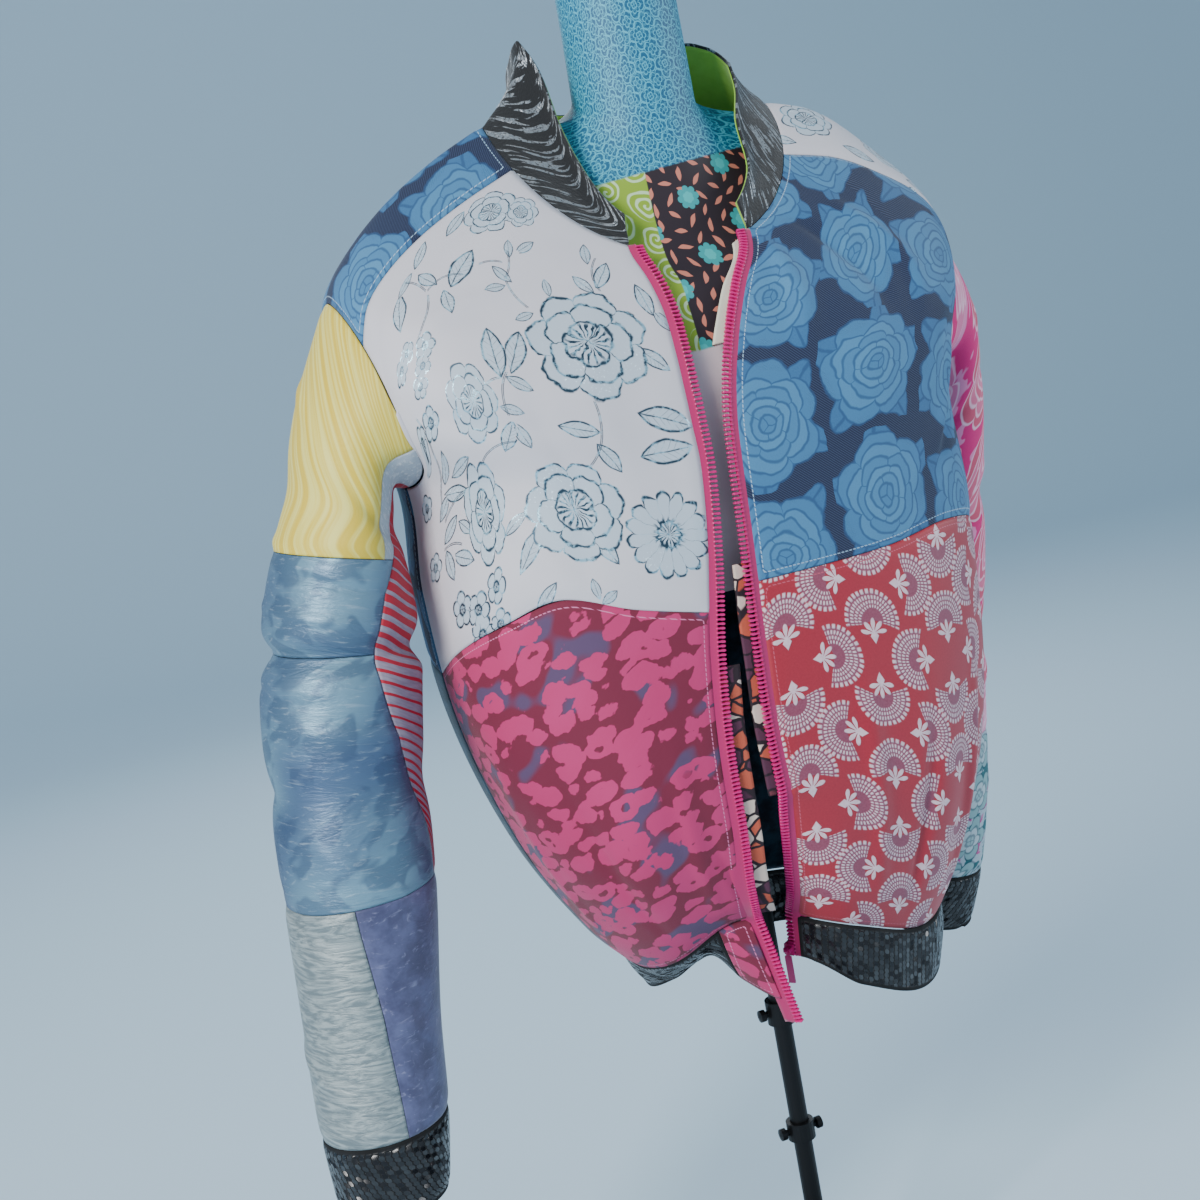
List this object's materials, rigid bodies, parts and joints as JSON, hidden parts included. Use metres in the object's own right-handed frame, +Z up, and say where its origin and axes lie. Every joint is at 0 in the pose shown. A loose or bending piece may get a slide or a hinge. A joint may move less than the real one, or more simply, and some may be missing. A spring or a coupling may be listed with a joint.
{
  "type": "patchwork bomber jacket on dress form with stand",
  "caption": "Patchwork bomber jacket hanging open on a limbless dress form with a pole and a round base; its zip's pull tab swings.",
  "frame": {"origin": "middle of the stand base's underside", "axes": "+X towards the wearer's left, the front faces -Y, +Z up along the pole"},
  "size_m": [0.636, 0.3638, 1.062],
  "materials": {
    "white_foil_cloth": "woven cloth with printed line flowers in foil",
    "leopard_cloth": "printed cloth, soft sheen",
    "denim_rose": "jacquard denim with woven roses",
    "fan_brocade": "brocade with pale bead fans",
    "back_cloth": "dark woven cloth",
    "yellow_cloth": "satin with pale streaks",
    "white_strip": "plain satin",
    "blue_foil": "crinkled cloth with metallic coat",
    "gusset_stripe": "striped woven cloth",
    "silver_crinkle": "crinkled cloth with metallic coat",
    "violet_cloth": "brushed cloth",
    "sequin_black": "ribbed cloth with scattered sequins",
    "rose_print": "printed cloth with roses",
    "teal_print": "printed cloth with flowers",
    "black_velvet": "velvet with silver strokes",
    "lime_lining": "plain lining",
    "zip_pink": "moulded teeth on a woven tape",
    "guard_print": "printed cloth strip",
    "neck_facing": "plain cream cloth",
    "form_cover": "cloth-covered form, printed paper-like patches above",
    "stand_black": "satin black"
  },
  "bodies": {
    "jacket_on_stand": {"right_front_lower": "leopard_cloth", "right_front_upper": "white_foil_cloth", "left_front_lower": "fan_brocade", "left_front_upper": "denim_rose", "right_yoke": "denim_rose", "left_yoke": "white_foil_cloth", "back_lower": "back_cloth", "back_upper": "denim_rose", "right_sleeve_yellow": "yellow_cloth", "right_sleeve_white": "white_strip", "right_sleeve_foil_upper": "blue_foil", "right_sleeve_gusset": "gusset_stripe", "right_sleeve_foil_lower": "blue_foil", "right_sleeve_silver": "silver_crinkle", "right_sleeve_violet": "violet_cloth", "right_cuff": "sequin_black", "left_sleeve_rose": "rose_print", "left_sleeve_teal": "teal_print", "left_cuff": "sequin_black", "collar": "black_velvet", "collar_lining": "lime_lining", "hem_band": "sequin_black", "right_hem_tab": "leopard_cloth", "right_zip": "zip_pink", "left_zip": "zip_pink", "zip_slider": "zip_pink", "right_zip_guard": "guard_print", "left_zip_guard": "guard_print", "left_neck_facing": "neck_facing", "dress_form": "form_cover", "stand_base": "stand_black", "stand_pole": "stand_black", "pole_clamp": "stand_black", "pole_collar": "stand_black"},
    "pull_tab": {"zip_pull": "zip_pink"}
  },
  "joints": [
    {"name": "pull_swing", "type": "hinge", "parent": "jacket_on_stand", "child": "pull_tab", "pos_m": [-0.015, -0.06507, 0.33707], "axis": [-0.5586, 0.8294, 0], "range_deg": [0, 120]}
  ]
}
